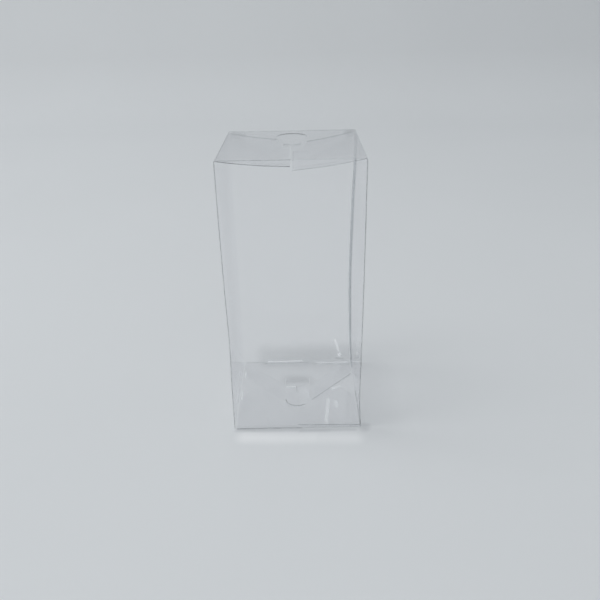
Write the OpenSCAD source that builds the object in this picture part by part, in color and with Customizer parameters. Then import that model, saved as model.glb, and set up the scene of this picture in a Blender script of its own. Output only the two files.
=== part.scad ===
// Clear film carton with a tuck-in lid and a hook-lock bottom, folded from one die-cut sheet.
// Millimetres, +Z up. The origin is the middle of the base and the front wall faces -Y.
// The lid is creased to the front wall and its tuck flap goes in behind the back wall.

/* [Carton] */
// Outside width, left to right
carton_w = 80; // [64:1:110]
// Outside depth, front to back
carton_d = 80; // [72:1:110]
// Outside height with the lid shut
carton_h = 170; // [90:1:260]
// Thickness of the clear film
film = 0.3; // [0.2:0.05:0.45]
// Outer radius of the four upright creases
crease_r = 0.7; // [0.6:0.1:1.5]

/* [Glued seam] */
// Width of the glue flap inside the right wall
glue_w = 12; // [8:1:18]
// Angle at which the ends of the glue flap are cut back
glue_taper = 20; // [10:1:40]
// Distance from the ends of the wall to the ends of the glue flap
glue_end_gap = 3; // [2:0.5:8]

/* [Lid] */
// Running clearance between the lid and the walls
lid_gap = 0.3; // [0.2:0.05:0.5]
// Distance from the outside of the side walls to the edges of the lid
lid_inset = 0.3; // [0.1:0.1:1]
// Length of the tuck flap
tuck_l = 16; // [10:1:20]
// Lean of the tuck flap beyond what it needs to swing past the back wall
tuck_spare_lean = 1.5; // [1:0.5:5]
// Distance from the edges of the lid to the edges of the tuck flap
tuck_inset = 1.2; // [0.8:0.1:4]
// Radius of the tuck flap's free corners
tuck_corner_r = 8; // [3:0.5:9]
// Radius of the half-round thumb notch in the back wall
thumb_r = 9; // [6:0.5:12]
// Radius of the half-moon finger cut in the lid
moon_r = 9; // [6:0.5:12]
// Distance from the lid's back crease to the crown of the half-moon
moon_back = 9; // [4:0.5:12]
// Width of the half-moon's cut line
moon_cut = 0.6; // [0.4:0.1:1]

/* [Dust flaps] */
// Droop of the left dust flap
dust_droop_left = 5; // [2:0.5:10]
// Droop of the right dust flap
dust_droop_right = 8; // [2:0.5:12]
// Distance from the front wall to the dust flaps' front edges
dust_front_gap = 2; // [0.6:0.1:3]
// Distance from the back wall to the dust flaps beside their creases
dust_back_gap = 2.5; // [2.5:0.1:5]
// Taper of the dust flaps' back edges
dust_taper = 11; // [8:1:20]
// Gap between the two dust flaps where they meet
dust_meet = 0.8; // [0.4:0.1:3]
// Half-width of the finger room between the dust flaps, at its mouth
dust_mouth = 9; // [7:0.5:14]
// Half-width of the finger room at its foot
dust_foot = 6; // [4:0.5:6.5]
// Distance from the back wall to the foot of the finger room
dust_foot_back = 31; // [27:1:40]

/* [Back bottom flap] */
// Distance from the side walls to the back flap's straight sides
back_inset = 1.8; // [1:0.1:4]
// Length of the back flap's straight sides
back_straight = 17.6; // [10:0.1:24]
// Length of the back flap at its shoulders
back_shoulder = 49; // [44:0.5:54]
// Width of each pointed shoulder at its end
shoulder_w = 1.2; // [0.8:0.1:3]
// Half-width of the locking tongue, which is also the radius of its tip
tongue_r = 8; // [6:0.5:10]
// Reach of the tongue from the back wall
tongue_reach = 59; // [52:0.5:62]
// Width of the two slits that free the tongue
slit_w = 0.8; // [0.5:0.1:1.5]
// Length over which the tongue climbs through the side flaps
tongue_climb = 10; // [8:0.5:14]

/* [Front bottom flap] */
// Distance from the side walls to the front flap's edges
front_inset = 1.8; // [1:0.1:4]
// Length of the front flap
front_l = 44; // [36:0.5:46]
// Size of the front flap's cut-off corners
front_corner = 9; // [4:0.5:14]
// Room for the tongue inside the front flap's notch, at its sides and its end
tongue_room = 2.5; // [1.5:0.1:4]

/* [Side bottom flaps] */
// Lift of the left side flap towards the middle
side_lift_left = 0.4; // [0.2:0.1:3]
// Lift of the right side flap towards the middle
side_lift_right = 0.9; // [0.2:0.1:3]
// Distance from the back wall to the side flaps' noses
nose_back = 34.5; // [30:0.5:38]
// How far each nose reaches in under the tongue's edge
nose_catch = 0.8; // [0.4:0.1:1.2]
// Distance from the front wall to the side flaps' front edges
side_front_gap = 1; // [0.6:0.1:3]
// Distance from the back wall to the side flaps beside their creases
side_back_gap = 1.2; // [0.8:0.1:3]
// Gap between the two side flaps where they meet
side_meet = 0.6; // [0.4:0.1:3]
// Air between films that lie on each other
layer_gap = 0.15; // [0.1:0.05:0.3]

/* [Hidden] */
$fn = 64;

half_w = carton_w / 2;
half_d = carton_d / 2;
past = 1;

// The side walls and the front wall stop under the lid, and the back wall goes on up behind it.
wall_top = carton_h - film - lid_gap;

// The lid turns about the middle of its rolled front crease.
hinge_y = -half_d + film / 2;
hinge_z = carton_h - film / 2;
tuck_y = half_d - film - lid_gap - film / 2;
lid_l = tuck_y - hinge_y;
lid_half_w = half_w - lid_inset;

// The tuck flap leans in enough for its free edge to swing up past the back wall.
tuck_lean = asin(tuck_l / (2 * lid_l)) + tuck_spare_lean;
tuck_half_w = lid_half_w - tuck_inset;
moon_y = tuck_y - film / 2 - moon_back - moon_r;

// The front flap slopes up just enough to lie on the back flap, and the side flaps lie on both.
front_slope = atan((film + layer_gap) / (carton_d - back_shoulder));
side_low = front_l * tan(front_slope) + film + layer_gap;
side_rise = half_w * tan(max(side_lift_left, side_lift_right));
tongue_z = side_low + side_rise + film + layer_gap;
climb_end = nose_back - nose_catch - 1;
climb_start = climb_end - tongue_climb;
shoulder_in = tongue_r + slit_w;
shoulder_out = shoulder_in + shoulder_w;
nose_half = tongue_r - nose_catch;
front_notch_half = shoulder_out + tongue_room;
front_notch_end = carton_d - tongue_reach - tongue_room;

// Rectangle with four true round corners, centred on the origin.
module rounded_plan(w, d, r) {
    square([w - 2 * r, d], center = true);
    square([w, d - 2 * r], center = true);
    for (sx = [-1, 1], sy = [-1, 1])
        translate([sx * (w / 2 - r), sy * (d / 2 - r)])
            circle(r);
}

// Puts a plan drawn with x to the right and y forward from the back wall in its true place.
module from_back() {
    translate([0, half_d, 0])
        mirror([0, 1, 0])
            children();
}

// The four walls as one folded tube, with each wall cut to its own height.
module walls() {
    difference() {
        linear_extrude(carton_h)
            difference() {
                rounded_plan(carton_w, carton_d, crease_r);
                rounded_plan(carton_w - 2 * film, carton_d - 2 * film, crease_r - film);
            }
        side_wall_feet();
        wall_tops();
        thumb_notch();
    }
}

// The side walls end where their bottom flaps fold in, above the front and back flaps.
module side_wall_feet() {
    for (sx = [-1, 1])
        translate([sx * half_w, 0, 0])
            cube([4 * film, carton_d - 2 * crease_r, 2 * side_low], center = true);
}

// Trims all the walls but the back one down to the underside of the lid.
module wall_tops() {
    translate([-half_w - past, -half_d - past, wall_top])
        cube([carton_w + 2 * past, carton_d - crease_r + past, carton_h]);
    for (sx = [-1, 1])
        translate([sx * half_w, half_d, wall_top + carton_h / 2])
            cube([2 * crease_r, 4 * crease_r, carton_h], center = true);
}

// Half-round cut in the back wall's top edge, which bares the tuck flap to the thumb.
module thumb_notch() {
    translate([0, half_d, carton_h])
        rotate([90, 0, 0])
            cylinder(r = thumb_r, h = 4 * film, center = true);
}

// Glue flap that turns in from the back wall and is stuck to the inside of the right wall.
module glue_flap() {
    low = side_low + glue_end_gap;
    high = wall_top - glue_end_gap;
    cut = glue_w * tan(glue_taper);
    translate([half_w - film - film, 0, 0])
        rotate([90, 0, 90])
            linear_extrude(film)
                polygon([
                    [half_d - film / 2, low],
                    [half_d - film / 2, high],
                    [half_d - glue_w, high - cut],
                    [half_d - glue_w, low + cut]
                ]);
}

// Rolled crease along the top of a side wall, for a flap that starts at its middle.
module side_crease(length) {
    rotate([90, 0, 0])
        cylinder(d = film, h = length, center = true);
}

// Plan of a right-hand dust flap: x from its crease to the middle, y forward from the back wall.
module dust_plan() {
    reach = half_w - dust_meet / 2 - film / 2;
    mouth_x = half_w - dust_mouth - film / 2;
    foot_x = half_w - dust_foot - film / 2;
    polygon([
        [film / 4, dust_back_gap],
        [mouth_x, dust_back_gap + mouth_x * tan(dust_taper)],
        [foot_x, dust_foot_back],
        [reach, dust_foot_back],
        [reach, carton_d - dust_front_gap],
        [film / 4, carton_d - dust_front_gap]
    ]);
}

// Dust flap on one side wall, drooping from its crease. The side is -1 for left and 1 for right.
module dust_flap(side, droop) {
    length = carton_d - dust_front_gap - dust_back_gap;
    mirror([side > 0 ? 1 : 0, 0, 0])
        translate([-half_w + film / 2, 0, wall_top - film / 2]) {
            translate([0, (dust_front_gap - dust_back_gap) / 2, 0])
                side_crease(length);
            rotate([0, droop, 0])
                from_back()
                    linear_extrude(film, center = true)
                        dust_plan();
        }
}

// Flat body of the back flap, with the two slits that free its tongue.
module back_flap() {
    side = half_w - back_inset;
    from_back()
        linear_extrude(film)
            polygon([
                [-side, 0],
                [-side, back_straight],
                [-shoulder_out, back_shoulder],
                [-shoulder_in, back_shoulder],
                [-shoulder_in, climb_start],
                [shoulder_in, climb_start],
                [shoulder_in, back_shoulder],
                [shoulder_out, back_shoulder],
                [side, back_straight],
                [side, 0]
            ]);
}

// Tongue of the back flap: it climbs between the side flaps and lies on their noses.
module tongue() {
    from_back() {
        translate([-tongue_r, 0, 0])
            rotate([90, 0, 90])
                linear_extrude(2 * tongue_r)
                    polygon([
                        [climb_start - film, 0],
                        [climb_start, 0],
                        [climb_end, tongue_z],
                        [climb_end + film, tongue_z],
                        [climb_end + film, tongue_z + film],
                        [climb_end, tongue_z + film],
                        [climb_start, film],
                        [climb_start - film, film]
                    ]);
        translate([0, 0, tongue_z])
            linear_extrude(film) {
                translate([-tongue_r, climb_end])
                    square([2 * tongue_r, tongue_reach - tongue_r - climb_end]);
                translate([0, tongue_reach - tongue_r])
                    circle(tongue_r);
            }
    }
}

// Front flap with a round-ended notch that leaves the tongue free.
module front_flap() {
    side = half_w - front_inset;
    translate([0, -half_d, 0])
        rotate([front_slope, 0, 0])
            linear_extrude(film)
                difference() {
                    polygon([
                        [-side, film / 4],
                        [-side, front_l - front_corner],
                        [-side + front_corner, front_l],
                        [side - front_corner, front_l],
                        [side, front_l - front_corner],
                        [side, film / 4]
                    ]);
                    translate([0, front_notch_end + front_notch_half])
                        circle(front_notch_half);
                    translate([-front_notch_half, front_notch_end + front_notch_half])
                        square([2 * front_notch_half, front_l]);
                }
}

// Side flap of the bottom, cut away on the slant to a nose that catches the tongue.
module side_flap(side, lift) {
    reach = half_w - side_meet / 2;
    mirror([side > 0 ? 1 : 0, 0, 0])
        translate([-half_w, 0, side_low])
            rotate([0, -lift, 0])
                from_back()
                    linear_extrude(film)
                        polygon([
                            [0, side_back_gap],
                            [half_w - nose_half, nose_back],
                            [reach, nose_back],
                            [reach, carton_d - side_front_gap],
                            [0, carton_d - side_front_gap]
                        ]);
}

// Everything that the one sheet makes below the lid.
module carton() {
    color([0.80, 0.83, 0.86, 0.45]) {
        walls();
        glue_flap();
        dust_flap(-1, dust_droop_left);
        dust_flap(1, dust_droop_right);
        back_flap();
        tongue();
        front_flap();
        side_flap(-1, side_lift_left);
        side_flap(1, side_lift_right);
    }
}

// Half-moon cut line, open towards the front so that the film inside it can be pressed in.
module moon_line() {
    difference() {
        circle(moon_r + moon_cut / 2);
        circle(moon_r - moon_cut / 2);
        translate([-2 * moon_r, -2 * moon_r])
            square([4 * moon_r, 2 * moon_r]);
    }
}

// Tuck flap, drawn from its crease with y along its length.
module tuck_plan() {
    translate([-tuck_half_w, 0])
        square([2 * tuck_half_w, tuck_l - tuck_corner_r]);
    translate([-tuck_half_w + tuck_corner_r, 0])
        square([2 * (tuck_half_w - tuck_corner_r), tuck_l]);
    for (sx = [-1, 1])
        translate([sx * (tuck_half_w - tuck_corner_r), tuck_l - tuck_corner_r])
            circle(tuck_corner_r);
}

// Rolled crease of the lid, which runs along X.
module lid_crease(half_length) {
    rotate([0, 90, 0])
        cylinder(d = film, h = 2 * half_length, center = true);
}

// Lid with its tuck flap, from the crease on the front wall to the flap's free edge.
module lid() {
    color([0.76, 0.80, 0.84, 0.45]) {
        translate([0, hinge_y, hinge_z])
            lid_crease(lid_half_w);
        translate([0, 0, carton_h - film])
            linear_extrude(film)
                difference() {
                    translate([-lid_half_w, hinge_y])
                        square([2 * lid_half_w, lid_l]);
                    translate([0, moon_y])
                        moon_line();
                }
        translate([0, tuck_y, hinge_z]) {
            lid_crease(lid_half_w);
            rotate([-90 - tuck_lean, 0, 0])
                linear_extrude(film, center = true)
                    tuck_plan();
        }
    }
}

carton();
lid();
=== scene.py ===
import math

import bmesh
import bpy
from mathutils import Matrix, Vector, noise


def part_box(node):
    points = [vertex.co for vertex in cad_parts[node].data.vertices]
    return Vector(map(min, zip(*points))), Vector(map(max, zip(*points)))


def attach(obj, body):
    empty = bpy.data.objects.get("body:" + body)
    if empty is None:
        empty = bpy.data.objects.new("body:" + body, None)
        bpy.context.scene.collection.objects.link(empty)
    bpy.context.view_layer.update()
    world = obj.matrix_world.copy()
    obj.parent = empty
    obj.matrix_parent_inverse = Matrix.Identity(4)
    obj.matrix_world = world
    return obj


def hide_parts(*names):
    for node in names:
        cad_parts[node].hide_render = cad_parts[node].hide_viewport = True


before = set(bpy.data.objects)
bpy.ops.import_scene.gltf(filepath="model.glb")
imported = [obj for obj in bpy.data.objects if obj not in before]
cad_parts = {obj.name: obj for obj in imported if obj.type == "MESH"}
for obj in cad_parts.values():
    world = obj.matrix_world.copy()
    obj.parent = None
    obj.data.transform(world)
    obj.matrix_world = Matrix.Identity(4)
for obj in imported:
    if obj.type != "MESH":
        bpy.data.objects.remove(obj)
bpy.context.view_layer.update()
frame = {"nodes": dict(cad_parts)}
print("frame loaded:", ", ".join(frame["nodes"]))

# The carton's overall size comes from the frame, and the rest is in metres as the sheet is cut.
cartonLow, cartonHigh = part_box("carton")
halfWide = (cartonHigh.x - cartonLow.x) / 2
halfDeep = (cartonHigh.y - cartonLow.y) / 2
deep = 2 * halfDeep
tall = cartonHigh.z

film = {
    "thick": 0.0003,
    "square": 0.005,  # size of a mesh square on the panels
    "fold": 0.00045,  # radius of a crease, at the middle of the film
    "edgeLineWide": 0.0003,  # width of the painted shade line inside a strong cut edge
    # width of the wider painted shade lines along some cut edges
    "glint": 0.0006,
    "lidGap": 0.0003,
    "layerGap": 0.00015,
    "sharpFrom": math.radians(35),
}
thick = film["thick"]
fold = film["fold"]
wallTop = tall - thick - film["lidGap"]
wallX = halfWide - thick / 2  # middle of the side walls' film
wallY = halfDeep - thick / 2

# Slots on every film piece. Solidify gives a rim the slot that lies rimShift further on, so clear, calm and
# soft film look alike on their faces and differ in how dark the painted shade on their cut edges is. The
# crease, faint and edge slots carry painted shade along folds and cut edges, the glint slot a painted
# highlight, and one slot carries painted shades and glints laid by place.
clearSlot, calmSlot, softSlot, paintedLightSlot, glueSlot, creaseShadeSlot, faintShadeSlot, edgeShadeSlot, glintSlot = range(9)
rimShift = 9

hair = 1e-6  # places closer than this are taken as one
cutSnap = 1e-7  # a corner this near a cut is taken as on it


def faceGeometry(faces):  # faces with their edges and corners, as bisect_plane wants them
    edges = {e for f in faces for e in f.edges}
    verts = {v for f in faces for v in f.verts}
    return list(verts) + list(edges) + list(faces)


def everywhere(p):
    return True


def levelPanel(xLow, xHigh, yLow, yHigh, square=film["square"]):
    bm = bmesh.new()
    wide, long = xHigh - xLow, yHigh - yLow
    middle = Matrix.Translation(((xLow + xHigh) / 2, (yLow + yHigh) / 2, 0))
    bmesh.ops.create_grid(
        bm,
        x_segments=max(1, round(wide / square)),
        y_segments=max(1, round(long / square)),
        size=0.5,
        matrix=middle @ Matrix.Diagonal((wide, long, 1, 1)),
    )
    return bm


def scoreLines(bm, lines, near):  # each line is a point and the normal of the plane through it
    for point, normal in lines:
        faces = [f for f in bm.faces if near(f.calc_center_median())]
        bmesh.ops.bisect_plane(
            bm, geom=faceGeometry(faces), dist=cutSnap, plane_co=point, plane_no=normal
        )


def dropFaces(bm, outside):
    gone = [f for f in bm.faces if outside(f.calc_center_median())]
    bmesh.ops.delete(bm, geom=gone, context="FACES")


def arcLines(centre, radius, start, end, steps, across=Vector((1, 0, 0)), along=Vector((0, 1, 0))):
    lines = []
    half = (end - start) / steps / 2
    for i in range(steps):
        angle = start + (2 * i + 1) * half
        normal = across * math.cos(angle) + along * math.sin(angle)
        lines.append((centre + normal * radius * math.cos(half), normal))
    return lines


def pastLines(point, lines):  # true if the point is beyond any of them
    return any((point - co).dot(no) > 0 for co, no in lines)


def paintAlongEdge(bm, lines, slot, near=everywhere, wide=film["edgeLineWide"]):  # paints a strip inside the given cut edges with the slot: a painted shade or painted highlight line
    inner = [(co - no * wide, no) for co, no in lines]
    scoreLines(bm, inner, near)
    for face in bm.faces:
        centre = face.calc_center_median()
        if near(centre) and pastLines(centre, inner):
            face.material_index = slot


def paintFaces(bm, slot, where=everywhere):
    for face in bm.faces:
        if where(face.calc_center_median()):
            face.material_index = slot


def farSide(made):  # the corners at the far end of what an operator made, and the edges between them
    verts = {g for g in made if isinstance(g, bmesh.types.BMVert)}
    edges = [g for g in made if isinstance(g, bmesh.types.BMEdge) and verts.issuperset(g.verts)]
    return verts, edges


def sweepStraight(bm, edges, along, count, slot=clearSlot):
    for _ in range(count):
        made = bmesh.ops.extrude_edge_only(bm, edges=edges)["geom"]
        verts, edges = farSide(made)
        for face in made:
            if isinstance(face, bmesh.types.BMFace):
                face.material_index = slot
        bmesh.ops.translate(bm, vec=along / count, verts=list(verts))
    return edges


def sweepTurn(bm, edges, centre, axis, angle, slots):  # one step for each slot
    step = angle / len(slots)
    for slot in slots:
        before = set(bm.faces)
        verts = list({v for e in edges for v in e.verts})
        made = bmesh.ops.spin(bm, geom=verts + edges, cent=centre, axis=axis, angle=step, steps=1)
        edges = farSide(made["geom_last"])[1]
        for face in set(bm.faces) - before:
            face.material_index = slot
    return edges


def startLine(bm, low, high, cuts):
    ends = [bm.verts.new(low), bm.verts.new(high)]
    edge = bm.edges.new(ends)
    bmesh.ops.subdivide_edges(bm, edges=[edge], cuts=cuts - 1)
    return bm.edges[:]


def rootFold(bm, side, angle, slot):  # the crease behind a flap whose root lies along X at y 0, painted with the given slot's crease shade
    roots = [e for e in bm.edges if e.is_boundary and all(abs(v.co.y) < hair for v in e.verts)]
    sweepTurn(bm, roots, (0, 0, side * fold), (1, 0, 0), angle, (slot, slot, slot))


def joinPanel(sheet, bm, place=Matrix.Identity(4)):
    bmesh.ops.transform(bm, matrix=place, verts=bm.verts)
    passed = bpy.data.meshes.new("panel")
    bm.to_mesh(passed)
    bm.free()
    sheet.from_mesh(passed)
    bpy.data.meshes.remove(passed)


# The four walls, swept round from the cut edge at the right back corner.
walls = {
    "rows": 34,
    "columns": 16,
    "glueColumns": 3,
    "glueIn": 1.1,  # how many film thicknesses the glue flap lies in from the right wall
    "glueWide": 0.012,
    "glueEndGap": 0.003,
    "glueTaper": math.radians(20),
    "thumbRadius": 0.009,
    "thumbSteps": 16,
    "sideLow": 0.0011,
}


def thumbNotch(bm):
    centre = Vector((0, wallY, tall))
    radius = walls["thumbRadius"]
    lines = arcLines(centre, radius, math.pi, 2 * math.pi, walls["thumbSteps"], along=Vector((0, 0, 1)))
    reach = radius + film["square"]

    def near(p):
        return p.y > wallY - thick and abs(p.x) < reach and p.z > tall - reach

    scoreLines(bm, lines, near)
    dropFaces(bm, lambda p: near(p) and not pastLines(p, lines))


def buildWalls(sheet):
    bm = bmesh.new()
    columns = walls["columns"]
    up = (0, 0, 1)
    quarter = -math.pi / 2
    edges = startLine(bm, (wallX, wallY - thick, 0), (wallX, wallY - thick, tall), walls["rows"])
    edges = sweepStraight(bm, edges, Vector((0, -2 * wallY + fold + thick, 0)), columns)
    # corner folds: a painted highlight on one step and painted crease shade on the others
    lit = (glintSlot, creaseShadeSlot, creaseShadeSlot, creaseShadeSlot)
    edges = sweepTurn(bm, edges, (wallX - fold, fold - wallY, 0), up, quarter, lit)
    edges = sweepStraight(bm, edges, Vector((2 * (fold - wallX), 0, 0)), columns)
    edges = sweepTurn(bm, edges, (fold - wallX, fold - wallY, 0), up, quarter, lit[::-1])
    edges = sweepStraight(bm, edges, Vector((0, 2 * (wallY - fold), 0)), columns)
    edges = sweepTurn(bm, edges, (fold - wallX, wallY - fold, 0), up, quarter, (softSlot, softSlot))
    glueX = wallX - thick * walls["glueIn"]
    edges = sweepStraight(bm, edges, Vector((glueX + wallX - 2 * fold, 0, 0)), columns)
    edges = sweepTurn(bm, edges, (glueX - fold, wallY - fold, 0), up, quarter, lit)
    plain = set(bm.faces)
    sweepStraight(bm, edges, Vector((0, fold - walls["glueWide"], 0)), walls["glueColumns"], glueSlot)
    trimGlueFlap(bm, [f for f in bm.faces if f not in plain])
    paintEnds(bm)
    for v in bm.verts:
        onBack = v.co.y > wallY - 10 * hair and abs(v.co.x) < wallX - fold
        onSide = abs(v.co.y) < wallY - fold + 10 * hair
        if v.co.z > tall - hair and not onBack:
            v.co.z = wallTop - thick / 2 - fold if onSide else wallTop
        elif v.co.z < hair:
            v.co.z = (walls["sideLow"] if onSide else 0) + thick / 2 + fold
    thumbNotch(bm)
    joinPanel(sheet, bm)


def paintEnds(bm):  # where a wall runs on into a flap, and along the back, no cut edge shows
    row = tall / walls["rows"]

    def runsOn(face):
        p = face.calc_center_median()
        return p.z < row or (p.z > tall - row and (p.y < wallY - fold or abs(p.x) > walls["thumbRadius"]))

    for face in bm.faces:
        if face.material_index == clearSlot and runsOn(face):
            face.material_index = softSlot


def trimGlueFlap(bm, faces):
    slope = math.tan(walls["glueTaper"])
    for z, side in ((walls["sideLow"] + walls["glueEndGap"], -1), (wallTop - walls["glueEndGap"], 1)):
        corner = Vector((0, halfDeep, z))
        outward = Vector((0, slope, side)).normalized()
        near = [f for f in faces if f.is_valid]
        cut = bmesh.ops.bisect_plane(
            bm, geom=faceGeometry(near), dist=cutSnap, plane_co=corner, plane_no=outward
        )
        faces = near + [g for g in cut["geom"] if isinstance(g, bmesh.types.BMFace)]
        whole = [f for f in set(faces) if f.is_valid]
        gone = [f for f in whole if pastLines(f.calc_center_median(), [(corner, outward)])]
        bmesh.ops.delete(bm, geom=gone, context="FACES")
        faces = [f for f in set(faces) if f.is_valid]


# The dust flaps hang in from the tops of the side walls. In plan x is minus the distance from the back
# wall, and y runs in from the crease.
dustFlaps = {
    "droop": {-1: math.radians(5), 1: math.radians(8)},
    "frontGap": 0.002,
    "backGap": 0.0025,
    "taper": math.radians(11),
    "meet": 0.0008,
    "mouth": 0.009,
    "foot": 0.006,
    "footBack": 0.031,
    "bend": 0.0006,
    "endMark": {-1: 0.063, 1: 0.056},  # the painted line on the meeting edges, a highlight on the left and shade on the right, reaches as far from the back wall as this
}


def buildDustFlap(sheet, side):
    s = dustFlaps
    root = thick / 2 + fold  # from the wall's outside to where the flap begins
    reach = halfWide - s["meet"] / 2 - root
    bm = levelPanel(s["frontGap"] - deep, -s["backGap"], 0, reach)
    taperLine = (Vector((-s["backGap"], 0, 0)), Vector((1, math.tan(s["taper"]), 0)).normalized())
    mouthY = halfWide - s["mouth"] - root
    mouth = Vector((-s["backGap"] - mouthY * math.tan(s["taper"]), mouthY, 0))
    foot = Vector((-s["footBack"], halfWide - s["foot"] - root, 0))
    roomLine = (foot, Vector((foot.y - mouth.y, mouth.x - foot.x, 0)).normalized())
    footLine = (foot, Vector((1, 0, 0)))
    scoreLines(bm, (taperLine, roomLine, footLine), everywhere)
    dropFaces(bm, lambda p: pastLines(p, [taperLine]))
    dropFaces(bm, lambda p: pastLines(p, [roomLine]) and pastLines(p, [footLine]))
    paintFaces(bm, softSlot)
    # painted shade lines along the taper and front edges; on the left flap painted highlights along the
    # foot and meeting edge, on the right painted shade along the meeting edge
    endLine = (Vector((0, reach, 0)), Vector((0, 1, 0)))
    frontLine = (Vector((s["frontGap"] - deep, 0, 0)), Vector((-1, 0, 0)))
    paintAlongEdge(bm, [taperLine], edgeShadeSlot)
    if side < 0:
        paintAlongEdge(bm, [frontLine], edgeShadeSlot)
        paintAlongEdge(bm, [footLine], glintSlot, lambda p: p.y > foot.y)
        paintAlongEdge(bm, [endLine], glintSlot, lambda p: p.x > -s["endMark"][side])
    else:
        paintAlongEdge(bm, [frontLine], creaseShadeSlot, everywhere, film["glint"])
        paintAlongEdge(bm, [endLine], creaseShadeSlot, lambda p: p.x > -s["endMark"][side])
    droop = s["droop"][side]
    for v in bm.verts:  # the flap bends most beside its crease and then runs on straight
        v.co.z -= s["bend"] * math.sin(math.pi * v.co.y / reach)
    rootFold(bm, -1, math.pi / 2 + droop, creaseShadeSlot if side < 0 else faintShadeSlot)
    turn = Matrix.Rotation(side * math.pi / 2, 4, "Z") @ Matrix.Rotation(-droop, 4, "X")
    if side < 0:
        bmesh.ops.scale(bm, vec=(-1, 1, 1), verts=bm.verts)
        bmesh.ops.reverse_faces(bm, faces=bm.faces)
    foldX = wallX - fold - fold * math.sin(droop)  # the crease turns about its own centre
    foldZ = wallTop - thick / 2 - fold + fold * math.cos(droop)
    joinPanel(sheet, bm, Matrix.Translation((side * foldX, halfDeep, foldZ)) @ turn)


# The bottom. In plan y runs in from the wall that carries the flap. Along that wall x runs to the right on
# the front and back flaps, and is minus the distance from the back wall on the side flaps.
backFlap = {
    "inset": 0.0018,
    "straight": 0.0176,
    "shoulder": 0.049,
    "shoulderWide": 0.0012,
    "tongueRadius": 0.008,
    "tongueReach": 0.059,
    "slit": 0.0008,
    "climb": 0.010,
    "climbSteps": 6,
    "tipSteps": 14,
    "tipDark": 9,  # steps of the tip, from the left, that carry a painted shade line
    # width of the painted shade line along the right slant
    "slantShadeWide": 0.0003,
    "square": 0.004,
}
frontFlap = {
    "inset": 0.0018,
    "length": 0.044,
    "corner": 0.009,
    "room": 0.0025,
    "notchSteps": 14,
    "creaseEnd": 0.004,  # the crease carries strong painted shade up to here from the left, and faint painted shade beyond it
}
sideFlaps = {
    "lift": {-1: math.radians(0.4), 1: math.radians(0.9)},
    "noseBack": 0.0345,
    "noseCatch": 0.0008,
    "frontGap": 0.001,
    "backGap": 0.0012,
    "meet": 0.0006,
    "noseMark": 0.007,  # length of the painted shade line on the left nose's end
    "noseGlint": 0.00045,
}
frontSlope = math.atan((thick + film["layerGap"]) / (deep - backFlap["shoulder"]))
sideLow = frontFlap["length"] * math.tan(frontSlope) + thick + film["layerGap"]
tongueHeight = sideLow + halfWide * math.tan(max(sideFlaps["lift"].values())) + thick + film["layerGap"]
climbEnd = sideFlaps["noseBack"] - sideFlaps["noseCatch"] - 0.001
climbStart = climbEnd - backFlap["climb"]
rootGap = thick / 2 + fold  # from a wall's outside to the root of its bottom flap


def buildBackFlap(sheet):
    s = backFlap
    side = halfWide - s["inset"]
    inner = s["tongueRadius"] + s["slit"]
    outer = inner + s["shoulderWide"]
    bm = levelPanel(-side, side, 0, s["tongueReach"] - rootGap, s["square"])
    bmesh.ops.translate(bm, vec=(0, rootGap, 0), verts=bm.verts)  # y is now from the wall's outside
    sideways, forward = Vector((1, 0, 0)), Vector((0, 1, 0))
    lines = [(sideways * x, sideways) for x in (-inner, -s["tongueRadius"], s["tongueRadius"], inner)]
    lines += [(forward * y, forward) for y in (climbStart, climbEnd, s["shoulder"])]
    slants = []
    for m in (-1, 1):
        outward = Vector((m * (s["shoulder"] - s["straight"]), side - outer, 0)).normalized()
        slants.append((Vector((m * side, s["straight"], 0)), outward))
    scoreLines(bm, lines + slants, everywhere)
    dropFaces(bm, lambda p: abs(p.x) > s["tongueRadius"] and (pastLines(p, slants) or p.y > s["shoulder"]))
    dropFaces(bm, lambda p: s["tongueRadius"] < abs(p.x) < inner and p.y > climbStart)
    steps = s["climbSteps"]
    climbs = [(forward * (climbStart + s["climb"] * i / steps), forward) for i in range(1, steps)]
    scoreLines(bm, climbs, lambda p: abs(p.x) < s["tongueRadius"])
    tip = Vector((0, s["tongueReach"] - s["tongueRadius"], 0))
    tipLines = arcLines(tip, s["tongueRadius"], 0, math.pi, s["tipSteps"])
    scoreLines(bm, tipLines, lambda p: p.y > tip.y - s["square"])
    dropFaces(bm, lambda p: p.y > tip.y and pastLines(p, tipLines))
    paintFaces(bm, softSlot)
    paintAlongEdge(bm, slants[:1], creaseShadeSlot, lambda p: p.x < -s["tongueRadius"], s["slantShadeWide"])
    paintAlongEdge(bm, tipLines[: s["tipDark"]], creaseShadeSlot, lambda p: p.y > tip.y, film["glint"])
    for v in bm.verts:
        if abs(v.co.x) < s["tongueRadius"] + hair and v.co.y > climbStart:
            share = min(1, (v.co.y - climbStart) / s["climb"])
            v.co.z += tongueHeight * share * share * (3 - 2 * share)
    bmesh.ops.translate(bm, vec=(0, -rootGap, 0), verts=bm.verts)
    rootFold(bm, 1, -math.pi / 2, faintShadeSlot)
    place = Matrix.Translation((0, halfDeep - rootGap, thick / 2)) @ Matrix.Rotation(math.pi, 4, "Z")
    joinPanel(sheet, bm, place)


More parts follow.
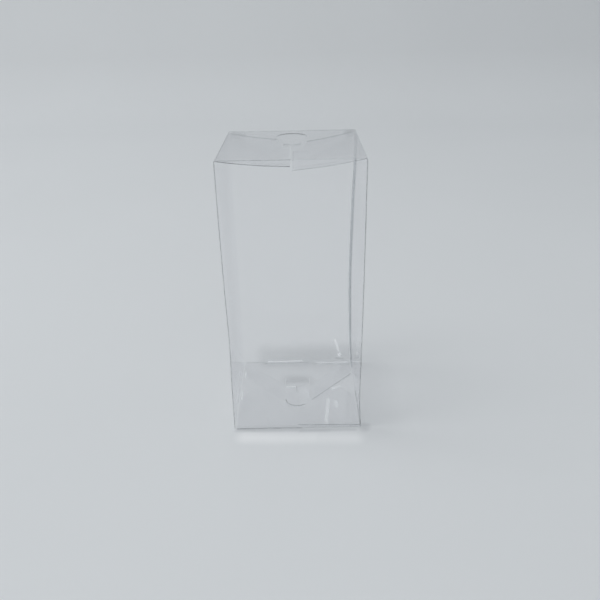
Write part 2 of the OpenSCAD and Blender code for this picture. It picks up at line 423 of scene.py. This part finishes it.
def buildFrontFlap(sheet):
    s = frontFlap
    side = halfWide - s["inset"]
    length = s["length"] - rootGap
    bm = levelPanel(-side, side, 0, length)
    corners = []
    for m in (-1, 1):
        corners.append((Vector((m * side, length - s["corner"], 0)), Vector((m, 1, 0)).normalized()))
    half = backFlap["tongueRadius"] + backFlap["slit"] + backFlap["shoulderWide"] + s["room"]
    notch = Vector((0, deep - backFlap["tongueReach"] - s["room"] - rootGap + half, 0))
    notchLines = arcLines(notch, half, math.pi, 2 * math.pi, s["notchSteps"])
    sides = [(Vector((m * half, 0, 0)), Vector((m, 0, 0))) for m in (-1, 1)]
    reach = half + film["square"]
    scoreLines(bm, corners, everywhere)
    scoreLines(bm, notchLines + sides, lambda p: abs(p.x) < reach and p.y > notch.y - reach)
    dropFaces(bm, lambda p: pastLines(p, corners))
    dropFaces(bm, lambda p: abs(p.x) < half and p.y > notch.y - half and not pastLines(p, notchLines))
    paintFaces(bm, softSlot)
    rootFold(bm, 1, -math.pi / 2 - frontSlope, creaseShadeSlot)
    paintFaces(bm, faintShadeSlot, lambda p: p.y < 0 and p.x > s["creaseEnd"])
    place = Matrix.Translation((0, rootGap - halfDeep, thick / 2)) @ Matrix.Rotation(frontSlope, 4, "X")
    joinPanel(sheet, bm, place)


def buildSideFlap(sheet, side):
    s = sideFlaps
    lift = s["lift"][side]
    reach = halfWide - s["meet"] / 2 - rootGap
    bm = levelPanel(s["frontGap"] - deep, -s["backGap"], 0, reach)
    nose = Vector((-s["noseBack"], halfWide - (backFlap["tongueRadius"] - s["noseCatch"]) - rootGap, 0))
    slant = (nose, Vector((nose.y, -s["backGap"] - nose.x, 0)).normalized())
    noseLine = (nose, Vector((1, 0, 0)))
    scoreLines(bm, (slant, noseLine), everywhere)
    dropFaces(bm, lambda p: pastLines(p, [slant if p.y < nose.y else noseLine]))
    paintFaces(bm, softSlot)
    if side < 0:
        endLine = (Vector((0, reach, 0)), Vector((0, 1, 0)))
        paintAlongEdge(bm, [noseLine], glintSlot, lambda p: p.y > nose.y, s["noseGlint"])
        paintAlongEdge(bm, [endLine], creaseShadeSlot, lambda p: p.x > -s["noseBack"] - s["noseMark"])
    else:
        frontLine = (Vector((s["frontGap"] - deep, 0, 0)), Vector((-1, 0, 0)))
        paintAlongEdge(bm, [frontLine], creaseShadeSlot, everywhere, film["glint"])
    rootFold(bm, 1, -math.pi / 2 - lift, faintShadeSlot)
    if side > 0:
        # painted crease shade on the front half of the right flap's crease
        paintFaces(bm, creaseShadeSlot, lambda p: p.y < 0 and p.x < -halfDeep)
    turn = Matrix.Rotation(side * math.pi / 2, 4, "Z") @ Matrix.Rotation(lift, 4, "X")
    if side < 0:
        bmesh.ops.scale(bm, vec=(-1, 1, 1), verts=bm.verts)
        bmesh.ops.reverse_faces(bm, faces=bm.faces)
    place = Matrix.Translation((side * (halfWide - rootGap), halfDeep, sideLow + thick / 2))
    joinPanel(sheet, bm, place @ turn)


# Film never stays quite flat: the corners bow in, and each wall has long soft waves, inwards only.
# Each corner's list gives shares of the height and how far the corner stands in towards the middle.
bow = {
    (1, 1): (
        (0, 0.0002), (0.15, 0.0014), (0.37, 0.0022), (0.56, 0.0019), (0.77, 0.0010), (0.88, 0.0002), (1, 0)
    ),
    (1, -1): ((0, 0), (0.1, 0.0008), (0.25, 0.0007), (0.45, 0.0003), (0.7, 0.0001), (1, 0)),
    (-1, -1): ((0, 0.0002), (0.15, 0.0003), (0.36, 0.0009), (0.55, 0.0004), (0.8, 0), (1, 0)),
    (-1, 1): ((0, 0), (0.5, 0.0004), (1, 0)),
}
waves = {"deep": 0.0007, "scale": 22.0}


def between(table, share):  # a smooth curve through the table's points
    i = max(n for n in range(len(table) - 1) if table[n][0] <= share or n == 0)
    low, high = table[i][1], table[i + 1][1]
    before = table[max(i - 1, 0)][1]
    after = table[min(i + 2, len(table) - 1)][1]
    t = (share - table[i][0]) / (table[i + 1][0] - table[i][0])
    bend = (2 * before - 5 * low + 4 * high - after) * t * t
    bend += (3 * low - before - 3 * high + after) * t ** 3
    return max(0, low + 0.5 * ((high - before) * t + bend))


def bowWalls(v):
    up = min(1, max(0, v.z / tall))
    side = 1 if v.x > 0 else -1
    back = (v.y + wallY) / (2 * wallY)
    pull = between(bow[side, -1], up) * (1 - back) + between(bow[side, 1], up) * back
    dx, dy = -pull * v.x / wallX, 0
    belly = math.sin(math.pi * up)
    wave = waves["deep"] * (0.5 + 0.5 * noise.noise(Vector(v) * waves["scale"]))
    if abs(v.x) > wallX - 2 * thick:
        dx -= math.copysign(wave * belly * math.cos(math.pi * v.y / (2 * wallY)), v.x)
    if abs(v.y) > wallY - 2 * thick:
        dy -= math.copysign(wave * belly * math.cos(math.pi * v.x / (2 * wallX)), v.y)
    return Vector((dx, dy, 0))


# true where a point lies near a painted shade or glint
def nearPaintedLight(p, s):
    start, along = Vector(s["from"]), Vector(s["to"]) - Vector(s["from"])
    share = min(1, max(0, (p - start).dot(along) / along.length_squared))
    return (p - start - along * share).length < s["wide"] + film["square"]


def finishSheet(name, bm, materials):
    bmesh.ops.remove_doubles(bm, verts=bm.verts, dist=2 * hair)
    # faces near a painted shade or glint take the slot that carries painted light
    for face in bm.faces:
        if face.material_index in (clearSlot, softSlot) and face.calc_center_median().z < tall - thick:
            if any(nearPaintedLight(face.calc_center_median(), s) for s in shades + glints):
                face.material_index = paintedLightSlot
    mesh = bpy.data.meshes.new(name)
    bm.to_mesh(mesh)
    bm.free()
    obj = bpy.data.objects.new(name, mesh)
    bpy.context.collection.objects.link(obj)
    for m in materials:
        mesh.materials.append(m)
    wall = obj.modifiers.new("film", "SOLIDIFY")
    wall.thickness = thick
    wall.offset = 0
    wall.material_offset_rim = rimShift
    graph = bpy.context.evaluated_depsgraph_get()
    solid = bpy.data.meshes.new_from_object(obj.evaluated_get(graph))
    obj.modifiers.clear()
    obj.data = solid
    solid.shade_smooth()
    solid.set_sharp_from_angle(angle=film["sharpFrom"])
    bpy.data.meshes.remove(mesh)
    return obj


def makeCartonFilm(materials):
    sheet = bmesh.new()
    buildWalls(sheet)
    for v in sheet.verts:
        v.co += bowWalls(v.co)
    for side in (-1, 1):
        buildDustFlap(sheet, side)
        buildSideFlap(sheet, side)
    buildBackFlap(sheet)
    buildFrontFlap(sheet)
    obj = finishSheet("carton_film", sheet, materials)
    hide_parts("carton")
    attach(obj, "carton")
    print("carton film:", len(obj.data.polygons), "faces")
    return obj


# The lid, swept from its front crease to the tuck flap's free edge.
lid = {
    "inset": 0.0003,
    "tuckLength": 0.016,
    "tuckSpareLean": math.radians(1.5),
    "tuckInset": 0.0012,
    "tuckCorner": 0.008,
    "cornerSteps": 7,
    "moonRadius": 0.009,
    "moonBack": 0.009,
    "moonCut": 0.0006,
    "moonSteps": 18,
    "moonDark": 0.8,  # share of the half-moon whose cut edge carries the dark painted edge shade
    "creaseWide": 0.0007,
    "sag": 0.0003,
    "columns": 16,
    "rows": 16,
    "tuckRows": 4,
}
hingeY = thick / 2 - halfDeep
hingeZ = tall - thick / 2
tuckY = halfDeep - thick - film["lidGap"] - thick / 2


def cutHalfMoon(bm):
    s = lid
    centre = Vector((0, tuckY - thick / 2 - s["moonBack"] - s["moonRadius"], hingeZ))
    big = arcLines(centre, s["moonRadius"] + s["moonCut"] / 2, 0, math.pi, s["moonSteps"])
    small = arcLines(centre, s["moonRadius"] - s["moonCut"] / 2, 0, math.pi, s["moonSteps"])
    chord = [(centre, Vector((0, 1, 0)))]
    reach = s["moonRadius"] + film["square"]

    def near(p):
        return abs(p.x) < reach and abs(p.y - centre.y) < reach and p.z > hingeZ - thick

    scoreLines(bm, big + small + chord, near)
    dropFaces(bm, lambda p: near(p) and p.y > centre.y and pastLines(p, small) and not pastLines(p, big))


def makeLidFilm(materials):
    s = lid
    bm = bmesh.new()
    side = halfWide - s["inset"]
    lean = math.asin(s["tuckLength"] / (2 * (tuckY - hingeY))) + s["tuckSpareLean"]
    edges = startLine(bm, (-side, hingeY, hingeZ), (side, hingeY, hingeZ), s["columns"])
    # the front crease strip carries painted crease shade, faint on the right half
    edges = sweepStraight(bm, edges, Vector((0, s["creaseWide"], 0)), 1, creaseShadeSlot)
    paintFaces(bm, faintShadeSlot, lambda p: p.x > 0)
    edges = sweepStraight(bm, edges, Vector((0, tuckY - fold - hingeY - s["creaseWide"], 0)), s["rows"])
    back = (0, tuckY - fold, hingeZ - fold)
    edges = sweepTurn(bm, edges, back, (1, 0, 0), -math.pi / 2 - lean, (softSlot, softSlot, softSlot))
    down = Vector((0, -math.sin(lean), -math.cos(lean)))
    root = sum((e.verts[0].co for e in edges), Vector()) / len(edges)
    sweepStraight(bm, edges, down * (s["tuckLength"] - fold), s["tuckRows"], softSlot)
    cutHalfMoon(bm)
    dark = s["moonRadius"] * s["moonDark"]
    # beyond the half-moon's dark part, the panel's cut edges get the lighter painted crease shade
    paintFaces(bm, calmSlot, lambda p: p.y > hingeY + s["creaseWide"] and abs(p.x) > dark)
    paintFaces(bm, softSlot, lambda p: p.z < hingeZ - fold)
    roundTuckFlap(bm, side - s["tuckInset"], Vector((0, root.y, root.z)), down)
    for v in bm.verts:  # the panel sags a little between its creases
        if v.co.z > hingeZ - thick:
            v.co.z -= s["sag"] * math.sin(math.pi * (v.co.y - hingeY) / (tuckY - hingeY)) ** 2
    obj = finishSheet("lid_film", bm, materials)
    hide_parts("lid")
    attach(obj, "lid")
    print("lid film:", len(obj.data.polygons), "faces")
    return obj


def roundTuckFlap(bm, half, root, down):
    s = lid
    sideways = Vector((1, 0, 0))
    end = s["tuckLength"] - fold
    lines = [(root + sideways * m * half, sideways * m) for m in (-1, 1)]
    for m in (-1, 1):
        centre = root + sideways * m * (half - s["tuckCorner"]) + down * (end - s["tuckCorner"])
        lines += arcLines(centre, s["tuckCorner"], 0, math.pi / 2, s["cornerSteps"], sideways * m, down)

    def onFlap(p):
        return (p - root).dot(down) > 0 and p.z < hingeZ - fold

    scoreLines(bm, lines, onFlap)
    dropFaces(bm, lambda p: onFlap(p) and pastLines(p, lines))


# Finishes. Each film face lets the view through and mirrors a little more of the room as it turns away. The
# shades and glints below are painted shade and painted highlights: each lies along a line between two
# places on the film and fades out over its width.
shades = (
    {"from": (-0.022, 0.0397, 0.0075), "to": (0.036, 0.0397, 0.0075), "wide": 0.012, "strength": 0.075},
    {"from": (-0.024, 0.0388, 0.0004), "to": (0.0080, 0.0388, 0.0004), "wide": 0.0010, "strength": 0.11},
    {"from": (0.029, 0.0397, 0.003), "to": (0.034, 0.0397, 0.0025), "wide": 0.002, "strength": 0.12},
    {"from": (-0.004, 0.0150, 0.0010), "to": (0.004, 0.0145, 0.0010), "wide": 0.011, "strength": 0.065},
    {"from": (-0.0076, 0.0130, 0.0010), "to": (-0.0076, 0.0065, 0.0015), "wide": 0.0011, "strength": 0.2},
    {"from": (-0.0385, 0.0390, 0.1690), "to": (-0.0310, 0.0380, 0.1675), "wide": 0.0045, "strength": 0.09},
    {"from": (0.0385, 0.0390, 0.1690), "to": (0.0350, 0.0390, 0.1685), "wide": 0.0045, "strength": 0.11},
    {"from": (-0.03, 0.0397, 0.165), "to": (0.03, 0.0397, 0.165), "wide": 0.012, "strength": 0.012},
    {"from": (-0.005, 0.0397, 0.1611), "to": (0.005, 0.0397, 0.1611), "wide": 0.0012, "strength": 0.2},
    {"from": (-0.018, -0.034, 0.1665), "to": (-0.002, -0.034, 0.1655), "wide": 0.006, "strength": 0.03},
    {"from": (0.028, -0.033, 0.1645), "to": (0.002, -0.033, 0.161), "wide": 0.007, "strength": 0.03},
    {"from": (0.0345, -0.034, 0.1655), "to": (0.0335, -0.034, 0.1655), "wide": 0.006, "strength": 0.05},
    {"from": (-0.0397, -0.02, 0.05), "to": (-0.0397, -0.005, 0.135), "wide": 0.035, "strength": 0.018},
    {"from": (0.0397, -0.02, 0.12), "to": (0.0397, 0.01, 0.13), "wide": 0.03, "strength": 0.012},
)
glints = (
    {"from": (-0.022, 0.0396, 0.0008), "to": (0.0030, 0.0396, 0.0010), "wide": 0.0011, "strength": 0.32},
    {"from": (0.0145, 0.0387, 0.0006), "to": (0.038, 0.0387, 0.0006), "wide": 0.0011, "strength": 0.3},
    {"from": (0.0280, 0.0397, 0.0185), "to": (0.0305, 0.0397, 0.0095), "wide": 0.0016, "strength": 0.22},
    {"from": (0.0308, 0.0397, 0.0065), "to": (0.0312, 0.0397, 0.0055), "wide": 0.0022, "strength": 0.3},
    {"from": (0.0195, -0.0397, 0.0215), "to": (0.0180, -0.0397, 0.0045), "wide": 0.0020, "strength": 0.13},
    {"from": (0.0240, -0.0397, 0.0195), "to": (0.0245, -0.0397, 0.0165), "wide": 0.0024, "strength": 0.1},
    {"from": (0.0250, -0.0397, 0.0180), "to": (0.0320, -0.0397, 0.0080), "wide": 0.010, "strength": 0.015},
    {"from": (-0.0384, 0.0375, 0.0009), "to": (-0.0350, 0.0375, 0.0009), "wide": 0.0009, "strength": 0.2},
    {"from": (-0.0374, 0.0260, 0.0012), "to": (-0.0372, 0.0190, 0.0012), "wide": 0.0009, "strength": 0.15},
    {"from": (-0.0380, 0.0010, 0.0012), "to": (-0.0377, -0.0090, 0.0012), "wide": 0.0009, "strength": 0.12},
    {"from": (-0.0094, 0.0145, 0.0008), "to": (-0.0093, 0.0095, 0.0008), "wide": 0.0008, "strength": 0.2},
    {"from": (0.0045, 0.0010, 0.0024), "to": (0.0048, -0.0110, 0.0024), "wide": 0.0050, "strength": 0.015},
    {"from": (0.0240, 0.0030, 0.0008), "to": (0.0295, 0.0050, 0.0008), "wide": 0.0012, "strength": 0.15},
    {"from": (0.0385, 0.000, 0.058), "to": (0.0383, 0.002, 0.072), "wide": 0.0022, "strength": 0.1},
)
# colours of the painted shades and painted glints, their roughness, and how far the glints wobble
paintedLightLook = {
    "shade": (0.16, 0.18, 0.20),
    "glint": (0.95, 0.97, 0.98),
    "rough": 0.5,
    "wobbleScale": 400.0,
    "wobble": 0.0005,  # how far a glint strays from its line
}


# strength of a painted shade, glint or table light at a point, fading out over its width
def paintedLightMask(nodes, links, point, s):
    start, along = Vector(s["from"]), Vector(s["to"]) - Vector(s["from"])

    def vectorNode(operation, first=None, second=None):
        node = nodes.new("ShaderNodeVectorMath")
        node.operation = operation
        for i, given in ((0, first), (1, second)):
            if isinstance(given, Vector):
                node.inputs[i].default_value = given
            elif given:
                links.new(given, node.inputs[i])
        return node

    away = vectorNode("SUBTRACT", point, start).outputs["Vector"]
    share = vectorNode("DOT_PRODUCT", away, along / along.length_squared)
    held = nodes.new("ShaderNodeClamp")
    links.new(share.outputs["Value"], held.inputs["Value"])
    reached = vectorNode("SCALE", along)
    links.new(held.outputs["Result"], reached.inputs["Scale"])
    off = vectorNode("LENGTH", vectorNode("SUBTRACT", away, reached.outputs["Vector"]).outputs["Vector"])
    mask = nodes.new("ShaderNodeMapRange")
    mask.interpolation_type = "SMOOTHSTEP"
    mask.inputs["From Max"].default_value = s["wide"]
    mask.inputs["To Min"].default_value = s["strength"]
    mask.inputs["To Max"].default_value = 0
    links.new(off.outputs["Value"], mask.inputs["Value"])
    return mask.outputs["Result"]


def strongest(nodes, links, masks):
    top = masks[0]
    for mask in masks[1:]:
        node = nodes.new("ShaderNodeMath")
        node.operation = "MAXIMUM"
        links.new(top, node.inputs[0])
        links.new(mask, node.inputs[1])
        top = node.outputs["Value"]
    return top


def shaken(nodes, links, point):  # the point, moved a little by noise, so that the painted glints aren't ruled
    far = paintedLightLook["wobble"]
    wobble = nodes.new("ShaderNodeTexNoise")
    wobble.inputs["Scale"].default_value = paintedLightLook["wobbleScale"]
    links.new(point, wobble.inputs["Vector"])
    shift = nodes.new("ShaderNodeVectorMath")
    shift.operation = "MULTIPLY_ADD"
    shift.inputs[1].default_value = (2 * far, 2 * far, 2 * far)
    shift.inputs[2].default_value = (-far, -far, -far)
    links.new(wobble.outputs["Color"], shift.inputs[0])
    moved = nodes.new("ShaderNodeVectorMath")
    links.new(point, moved.inputs[0])
    links.new(shift.outputs["Vector"], moved.inputs[1])
    return moved.outputs["Vector"]


# lays painted shades or painted glints over the finish below
def layPaintedLight(nodes, links, point, below, lines, colour, highlightGlow):
    coat = nodes.new("ShaderNodeBsdfPrincipled")
    coat.inputs["Base Color"].default_value = (*colour, 1)
    coat.inputs["Roughness"].default_value = paintedLightLook["rough"]
    coat.inputs["Emission Color"].default_value = (*colour, 1)
    coat.inputs["Emission Strength"].default_value = highlightGlow
    mixed = nodes.new("ShaderNodeMixShader")
    masks = [paintedLightMask(nodes, links, point, s) for s in lines]
    links.new(strongest(nodes, links, masks), mixed.inputs["Fac"])
    links.new(below, mixed.inputs[1])
    links.new(coat.outputs["BSDF"], mixed.inputs[2])
    return mixed.outputs["Shader"]


def filmMaterial(name, s):
    material = bpy.data.materials.new(name)
    material.use_nodes = True
    nodes, links = material.node_tree.nodes, material.node_tree.links
    nodes.clear()
    place = nodes.new("ShaderNodeTexCoord")
    cloud = nodes.new("ShaderNodeTexNoise")
    cloud.inputs["Scale"].default_value = s["cloudScale"]
    cloud.inputs["Detail"].default_value = s["cloudDetail"]
    links.new(place.outputs["Object"], cloud.inputs["Vector"])
    rough = nodes.new("ShaderNodeMapRange")
    rough.inputs["To Min"].default_value = s["rough"][0]
    rough.inputs["To Max"].default_value = s["rough"][1]
    links.new(cloud.outputs["Fac"], rough.inputs["Value"])
    ripple = nodes.new("ShaderNodeTexNoise")
    ripple.inputs["Scale"].default_value = s["rippleScale"]
    ripple.inputs["Detail"].default_value = s["rippleDetail"]
    links.new(place.outputs["Object"], ripple.inputs["Vector"])
    bump = nodes.new("ShaderNodeBump")
    bump.inputs["Strength"].default_value = s["ripple"]
    bump.inputs["Distance"].default_value = s["rippleDeep"]
    links.new(ripple.outputs["Fac"], bump.inputs["Height"])
    gloss = nodes.new("ShaderNodeBsdfGlossy")
    gloss.inputs["Color"].default_value = (*s["gloss"], 1)
    links.new(rough.outputs["Result"], gloss.inputs["Roughness"])
    links.new(bump.outputs["Normal"], gloss.inputs["Normal"])
    clear = nodes.new("ShaderNodeBsdfTransparent")
    clear.inputs["Color"].default_value = (*s["clear"], 1)
    facing = nodes.new("ShaderNodeLayerWeight")
    facing.inputs["Blend"].default_value = 0.5  # facing is then 1 less the cosine
    links.new(bump.outputs["Normal"], facing.inputs["Normal"])
    steep = nodes.new("ShaderNodeMath")
    steep.operation = "POWER"
    steep.inputs[1].default_value = s["mirrorPower"]
    links.new(facing.outputs["Facing"], steep.inputs[0])
    mirrored = nodes.new("ShaderNodeMapRange")  # the same from inside the film as from outside
    mirrored.inputs["To Min"].default_value = s["mirror"][0]
    mirrored.inputs["To Max"].default_value = s["mirror"][1]
    links.new(steep.outputs["Value"], mirrored.inputs["Value"])
    shine = nodes.new("ShaderNodeMixShader")
    links.new(mirrored.outputs["Result"], shine.inputs["Fac"])
    links.new(clear.outputs["BSDF"], shine.inputs[1])
    links.new(gloss.outputs["BSDF"], shine.inputs[2])
    body = nodes.new("ShaderNodeBsdfPrincipled")
    body.inputs["Base Color"].default_value = (*s["body"], 1)
    body.inputs["Roughness"].default_value = s["bodyRough"]
    # a finish with glow set, such as the glint finish, glows a little as a painted highlight
    if not s["paintedLight"]:
        body.inputs["Emission Color"].default_value = (*s["body"], 1)
        body.inputs["Emission Strength"].default_value = s["highlightGlow"]
    haze = nodes.new("ShaderNodeMapRange")
    haze.inputs["From Min"].default_value = s["hazeFrom"][0]
    haze.inputs["From Max"].default_value = s["hazeFrom"][1]
    haze.inputs["To Min"].default_value = s["haze"][0]
    haze.inputs["To Max"].default_value = s["haze"][1]
    links.new(cloud.outputs["Fac"], haze.inputs["Value"])
    whole = nodes.new("ShaderNodeMixShader")
    links.new(haze.outputs["Result"], whole.inputs["Fac"])
    links.new(shine.outputs["Shader"], whole.inputs[1])
    links.new(body.outputs["BSDF"], whole.inputs[2])
    finished = whole.outputs["Shader"]
    # the painted light finish lays painted shades, then painted glints that glow a little, by place on the
    # film
    if s["paintedLight"]:
        point = place.outputs["Object"]
        finished = layPaintedLight(nodes, links, point, finished, shades, paintedLightLook["shade"], 0)
        point = shaken(nodes, links, point)
        finished = layPaintedLight(nodes, links, point, finished, glints, paintedLightLook["glint"], s["highlightGlow"])
    output = nodes.new("ShaderNodeOutputMaterial")
    links.new(finished, output.inputs["Surface"])
    return material


clearFinish = {
    "paintedLight": False,
    "cloudScale": 28.0,
    "cloudDetail": 4,
    "rippleScale": 45.0,
    "rippleDetail": 1,
    "rippleDeep": 0.001,
    "ripple": 0.06,
    "rough": (0.03, 0.12),
    "gloss": (0.985, 0.985, 0.99),
    "clear": (0.998, 0.998, 0.999),
    "mirror": (0.022, 0.88),  # seen straight on, and edge on
    "mirrorPower": 5,
    "body": (0.64, 0.67, 0.69),
    "bodyRough": 0.4,
    "haze": (0.0, 0.005),
    "hazeFrom": (0.35, 0.75),
    "highlightGlow": 0,
}
gluedFinish = {**clearFinish, "gloss": (0.75, 0.77, 0.79), "haze": (0.0, 0.02)}
# painted shade: a dark haze on creases, standing in for the dark line a fold of clear film shows
creaseShadeFinish = {**clearFinish, "body": (0.10, 0.12, 0.14), "haze": (0.14, 0.3), "cloudScale": 160.0}
# fainter painted shade on soft creases
faintShadeFinish = {
    **clearFinish,
    "body": (0.3, 0.33, 0.36),
    "haze": (0.02, 0.08),
    "cloudScale": 120.0,
    "mirror": (0.03, 0.4),
}
# painted shade: a dark line on the film's cut edges
edgeShadeFinish = {**clearFinish, "body": (0.08, 0.09, 0.11), "haze": (0.5, 0.8), "cloudScale": 200.0}
# painted highlight: white and glowing a little, on edges and folds
glintFinish = {**edgeShadeFinish, "body": (0.95, 0.97, 0.98), "haze": (0.25, 0.6), "highlightGlow": 0.2}
# clear film with painted shades and painted glints laid by place
paintedLightFinish = {**clearFinish, "paintedLight": True, "highlightGlow": 0.3}


def makeMaterials():
    clearFilm = filmMaterial("film_clear", clearFinish)
    paintedLight = filmMaterial("film_painted_light", paintedLightFinish)
    glued = filmMaterial("film_glued", gluedFinish)
    creaseShade = filmMaterial("film_crease_shade", creaseShadeFinish)
    faintShade = filmMaterial("film_soft_crease_shade", faintShadeFinish)
    edge = filmMaterial("film_edge_shade", edgeShadeFinish)
    glint = filmMaterial("film_glint", glintFinish)
    # faces in slot order: clear, calm and soft film, film with painted shades and glints, glued film,
    # painted crease shade, faint painted shade, painted edge shade and painted highlight; then the rims
    faces = [clearFilm, clearFilm, clearFilm, paintedLight, glued, creaseShade, faintShade, edge, glint]
    rims = [edge, creaseShade, faintShade, faintShade, faintShade, creaseShade, faintShade, edge, glint]
    return faces + rims


# The table and backdrop, the light and the camera.
table = {
    "half": 3.0,
    "front": 3.0,
    "turn": 1.0,  # where the paper starts to turn up behind the box
    "turnRadius": 0.5,
    "turnSteps": 16,
    "squares": 8,
    "high": 2.0,
    "highRows": 4,
    "drop": 0.0002,
    "colour": (0.782, 0.796, 0.806),
    # colours of the painted light band and the painted shadows
    "glint": (0.98, 0.985, 0.99),
    "shade": (0.60, 0.61, 0.63),
    "rough": 0.6,
    "specular": 0.2,
    "mottle": 0.02,
    "mottleScale": 3.0,
    # painted shade on the standing paper: how dark, and the height by which it is reached
    "paintedWallShade": 0.92,
    "paintedWallShadeHigh": 0.12,
}
# Painted light and shade on the table: a bright band where the box throws light, shadows where it throws
# shade, and a darker patch on the backdrop to the right.
tableGlints = (
    {"from": (-0.032, -0.048, 0), "to": (0.01, -0.049, 0), "wide": 0.0095, "strength": 0.62},
    {"from": (0.0, -0.049, 0), "to": (0.035, -0.050, 0), "wide": 0.0095, "strength": 0.5},
)
tableShades = (
    {"from": (-0.038, -0.0412, 0), "to": (0.036, -0.0418, 0), "wide": 0.0028, "strength": 0.5},
    {"from": (0.002, -0.0420, 0), "to": (0.020, -0.0420, 0), "wide": 0.0030, "strength": 0.7},
    {"from": (0.0425, -0.041, 0), "to": (0.0435, -0.038, 0), "wide": 0.006, "strength": 0.7},
    {"from": (0.05, -0.035, 0), "to": (0.05, 0.03, 0), "wide": 0.026, "strength": 0.2},
    {"from": (0.46, 1.40, 0.18), "to": (0.95, 1.40, 0.18), "wide": 0.32, "strength": 0.14},
)


def makeTable():
    s = table
    bm = bmesh.new()
    near = Vector((0, -s["front"], -s["drop"]))
    aside = Vector((s["half"], 0, 0))
    bend = (0, s["turn"], s["turnRadius"])
    edges = startLine(bm, near - aside, near + aside, s["squares"])
    edges = sweepStraight(bm, edges, Vector((0, s["front"] + s["turn"], 0)), s["squares"])
    edges = sweepTurn(bm, edges, bend, (1, 0, 0), math.pi / 2, (0,) * s["turnSteps"])
    sweepStraight(bm, edges, Vector((0, 0, s["high"])), s["highRows"])
    bmesh.ops.recalc_face_normals(bm, faces=bm.faces)
    mesh = bpy.data.meshes.new("table")
    bm.to_mesh(mesh)
    bm.free()
    mesh.shade_smooth()
    obj = bpy.data.objects.new("table", mesh)
    bpy.context.collection.objects.link(obj)
    material = bpy.data.materials.new("table")
    material.use_nodes = True
    nodes, links = material.node_tree.nodes, material.node_tree.links
    shader = nodes["Principled BSDF"]
    shader.inputs["Roughness"].default_value = s["rough"]
    shader.inputs["Specular IOR Level"].default_value = s["specular"]
    place = nodes.new("ShaderNodeTexCoord")
    mottle = nodes.new("ShaderNodeTexNoise")
    mottle.inputs["Scale"].default_value = s["mottleScale"]
    links.new(place.outputs["Object"], mottle.inputs["Vector"])
    tone = nodes.new("ShaderNodeMix")
    tone.data_type = "RGBA"
    tone.inputs["A"].default_value = (*[c * (1 - s["mottle"]) for c in s["colour"]], 1)
    tone.inputs["B"].default_value = (*[c * (1 + s["mottle"]) for c in s["colour"]], 1)
    links.new(mottle.outputs["Fac"], tone.inputs["Factor"])
    away = nodes.new("ShaderNodeSeparateXYZ")
    links.new(place.outputs["Object"], away.inputs["Vector"])
    wallShadeRamp = nodes.new("ShaderNodeMapRange")  # painted shade: the paper is painted darker where it stands up
    wallShadeRamp.inputs["From Max"].default_value = s["paintedWallShadeHigh"]
    wallShadeRamp.inputs["To Min"].default_value = 1
    wallShadeRamp.inputs["To Max"].default_value = s["paintedWallShade"]
    links.new(away.outputs["Z"], wallShadeRamp.inputs["Value"])
    wallShaded = nodes.new("ShaderNodeVectorMath")
    wallShaded.operation = "SCALE"
    links.new(tone.outputs["Result"], wallShaded.inputs["Vector"])
    links.new(wallShadeRamp.outputs["Result"], wallShaded.inputs["Scale"])
    lit = wallShaded.outputs["Vector"]
    # lays the painted light band, then the painted shadows and shade
    for lines, colour in ((tableGlints, s["glint"]), (tableShades, s["shade"])):
        mixed = nodes.new("ShaderNodeMix")
        mixed.data_type = "RGBA"
        masks = [paintedLightMask(nodes, links, place.outputs["Object"], m) for m in lines]
        links.new(strongest(nodes, links, masks), mixed.inputs["Factor"])
        links.new(lit, mixed.inputs["A"])
        mixed.inputs["B"].default_value = (*colour, 1)
        lit = mixed.outputs["Result"]
    links.new(lit, shader.inputs["Base Color"])
    mesh.materials.append(material)


light = {
    "room": (0.565, 0.588, 0.606),
    "roomStrength": 1.0,
    "key": {"at": (-1.3, -0.1, 2.0), "size": 1.4, "power": 13.5},
}


def makeLight():
    world = bpy.data.worlds.new("room")
    bpy.context.scene.world = world
    world.use_nodes = True
    back = world.node_tree.nodes["Background"]
    back.inputs["Color"].default_value = (*light["room"], 1)
    back.inputs["Strength"].default_value = light["roomStrength"]
    s = light["key"]
    data = bpy.data.lights.new("key", "AREA")
    data.shape = "DISK"
    data.size = s["size"]
    data.energy = s["power"]
    lamp = bpy.data.objects.new("key", data)
    lamp.location = s["at"]
    lamp.rotation_euler = (Vector((0, 0, tall / 2)) - lamp.location).to_track_quat("-Z", "Y").to_euler()
    bpy.context.collection.objects.link(lamp)


camera = {
    "at": (0.00531, -0.3609, 0.24449),
    "heading": math.radians(-0.358),
    "down": math.radians(25.719),
    "roll": math.radians(-1.222),
    "sensor": 36,
    "lens": 625.89 / 600,  # in widths of the sensor
    "near": 0.01,
}


def makeCamera():
    s = camera
    flat = Vector((math.sin(s["heading"]), math.cos(s["heading"]), 0))
    ahead = flat * math.cos(s["down"]) - Vector((0, 0, math.sin(s["down"])))
    level = Vector((flat.y, -flat.x, 0))
    upright = level.cross(ahead)
    right = level * math.cos(s["roll"]) + upright * math.sin(s["roll"])
    up = upright * math.cos(s["roll"]) - level * math.sin(s["roll"])
    data = bpy.data.cameras.new("camera")
    data.sensor_width = s["sensor"]
    data.lens = s["sensor"] * s["lens"]
    data.clip_start = s["near"]
    obj = bpy.data.objects.new("camera", data)
    obj.matrix_world = Matrix.Translation(s["at"]) @ Matrix((right, up, -ahead)).transposed().to_4x4()
    bpy.context.collection.objects.link(obj)
    bpy.context.scene.camera = obj


makeCamera()
makeLight()
makeTable()
print("camera, light and table are set")
materials = makeMaterials()
makeCartonFilm(materials)
makeLidFilm(materials)

scene = bpy.context.scene
scene.view_settings.view_transform = "Standard"
scene.cycles.transparent_max_bounces = 32  # the view passes through many layers of film
